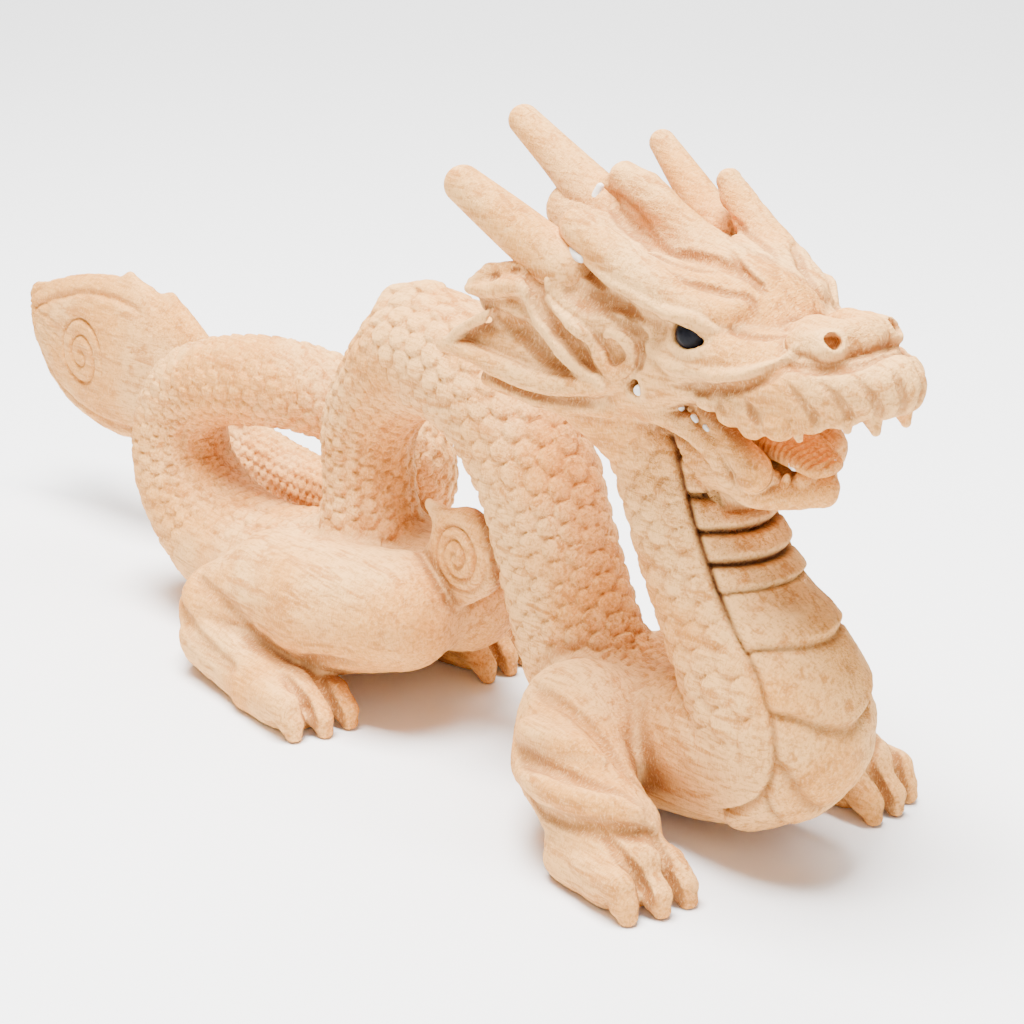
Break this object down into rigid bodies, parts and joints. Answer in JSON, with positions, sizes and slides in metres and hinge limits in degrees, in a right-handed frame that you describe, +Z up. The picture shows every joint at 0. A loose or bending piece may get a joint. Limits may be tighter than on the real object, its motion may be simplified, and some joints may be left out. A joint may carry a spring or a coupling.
{
  "type": "carved wooden dragon figure",
  "caption": "Free-standing carved wood dragon with an S-looped scaly trunk, clawed feet, glued horns, glass eyes, open jaws and a curled leaf tail, for display on a shelf or table.",
  "frame": {"origin": "on the ground, under the middle of the whole figure's box", "axes": "+X towards the nose, +Y towards the dragon's left side, +Z up"},
  "size_m": [0.3955, 0.1048, 0.1728],
  "materials": {
    "carved_wood": "matte, unvarnished",
    "recessed_wood": "matte, tool-marked",
    "black_bead": "gloss",
    "white_glue": "semi-gloss, cloudy"
  },
  "bodies": {
    "root": {"skull": "carved_wood", "snout": "carved_wood", "lower_jaw": "carved_wood", "tongue": "recessed_wood", "upper_fangs": "carved_wood", "lower_teeth": "carved_wood", "left_ear": "carved_wood", "right_ear": "carved_wood", "left_eye": "black_bead", "right_eye": "black_bead", "left_horn": "carved_wood", "right_horn": "carved_wood", "centre_horn": "carved_wood", "horn_glue": "white_glue", "whisker_plugs": "white_glue", "mouth_glue": "white_glue", "neck": "carved_wood", "neck_scutes": "recessed_wood", "chest": "carved_wood", "front_column": "carved_wood", "hump": "carved_wood", "dorsal_fin": "carved_wood", "rear_column": "carved_wood", "hips": "carved_wood", "belly_curl": "carved_wood", "tail_base": "carved_wood", "tail_arch": "carved_wood", "tail_return": "carved_wood", "tail_root": "carved_wood", "tail_flame": "carved_wood", "front_left_leg": "carved_wood", "front_right_leg": "carved_wood", "rear_left_thigh": "carved_wood", "rear_right_thigh": "carved_wood", "rear_left_leg": "carved_wood", "rear_right_leg": "carved_wood", "front_left_claws": "recessed_wood", "front_right_claws": "recessed_wood", "rear_left_claws": "recessed_wood", "rear_right_claws": "recessed_wood"}
  },
  "joints": []
}
